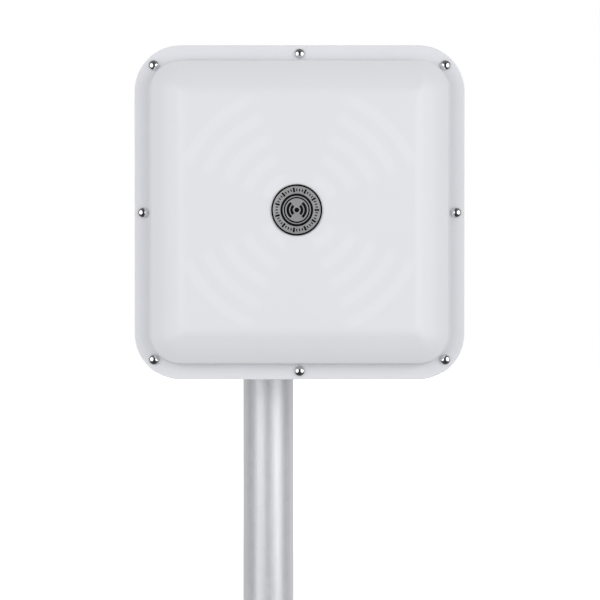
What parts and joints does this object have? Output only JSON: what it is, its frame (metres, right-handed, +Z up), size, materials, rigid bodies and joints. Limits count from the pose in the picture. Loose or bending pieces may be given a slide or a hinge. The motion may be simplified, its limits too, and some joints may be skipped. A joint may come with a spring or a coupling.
{
  "type": "panel antenna",
  "caption": "Flat square panel antenna under a white formed radome, on a tilting bracket clamped to a galvanised mast.",
  "frame": {"origin": "centre of the mast's foot, on the mast's axis", "axes": "+Z up along the mast; -Y is the way the panel looks; +X is to the panel's right as seen from its front"},
  "size_m": [0.3, 0.1794, 0.537],
  "materials": {
    "radome": "white ABS, lightly glossy",
    "badge": "brushed, with dark filled rings",
    "rubber": "matt black",
    "aluminium": "mill finish",
    "polished_steel": "polished stainless",
    "zinc": "bright zinc plate",
    "galvanised": "hot-dip galvanised, streaked",
    "nickel": "nickel plate",
    "board": "green solder mask",
    "coax_jacket": "tinned copper braid",
    "nylon": "natural nylon",
    "black_plastic": "fine-grained black plastic"
  },
  "bodies": {
    "mast": {"mast_tube": "galvanised", "mast_cap": "black_plastic"},
    "mast_clamp": {"clamp_bracket": "zinc", "u_bolt_upper": "zinc", "saddle_upper": "zinc", "u_bolt_lower": "zinc", "saddle_lower": "zinc", "u_bolt_nut_upper_left": "zinc", "u_bolt_nut_upper_right": "zinc", "u_bolt_nut_lower_left": "zinc", "u_bolt_nut_lower_right": "zinc", "tilt_pivot_bolt": "zinc", "tilt_pivot_nut": "zinc", "tilt_lock_bolt": "zinc", "tilt_lock_nut": "zinc"},
    "antenna": {"tilt_bracket": "zinc", "radome": "radome", "radome_gasket": "rubber", "back_plate": "aluminium", "badge": "badge", "feed_board": "board", "radome_screw_1": "polished_steel", "radome_screw_2": "polished_steel", "radome_screw_3": "polished_steel", "radome_screw_4": "polished_steel", "radome_screw_5": "polished_steel", "radome_screw_6": "polished_steel", "radome_screw_7": "polished_steel", "radome_screw_8": "polished_steel", "radome_nut_1": "zinc", "radome_nut_2": "zinc", "radome_nut_3": "zinc", "radome_nut_4": "zinc", "radome_nut_5": "zinc", "radome_nut_6": "zinc", "radome_nut_7": "zinc", "radome_nut_8": "zinc", "bracket_bolt_1": "zinc", "bracket_bolt_2": "zinc", "bracket_bolt_3": "zinc", "bracket_bolt_4": "zinc", "bracket_nut_1": "zinc", "bracket_nut_2": "zinc", "bracket_nut_3": "zinc", "bracket_nut_4": "zinc", "patch_radiator_1": "aluminium", "patch_radiator_2": "aluminium", "patch_radiator_3": "aluminium", "patch_radiator_4": "aluminium", "patch_post_1": "nylon", "patch_post_2": "nylon", "patch_post_3": "nylon", "patch_post_4": "nylon", "antenna_jack_left": "nickel", "antenna_jack_right": "nickel", "jack_nut_left": "nickel", "jack_nut_right": "nickel", "feed_coax_left": "coax_jacket", "feed_coax_right": "coax_jacket"}
  },
  "joints": [
    {"name": "azimuth", "type": "hinge", "parent": "mast", "child": "mast_clamp", "pos_m": [0, 0, 0.385], "axis": [0, 0, 1], "continuous": true},
    {"name": "tilt", "type": "hinge", "parent": "mast_clamp", "child": "antenna", "pos_m": [0.05, -0.061, 0.365], "axis": [1, 0, 0], "range_deg": [-20, 20]}
  ]
}
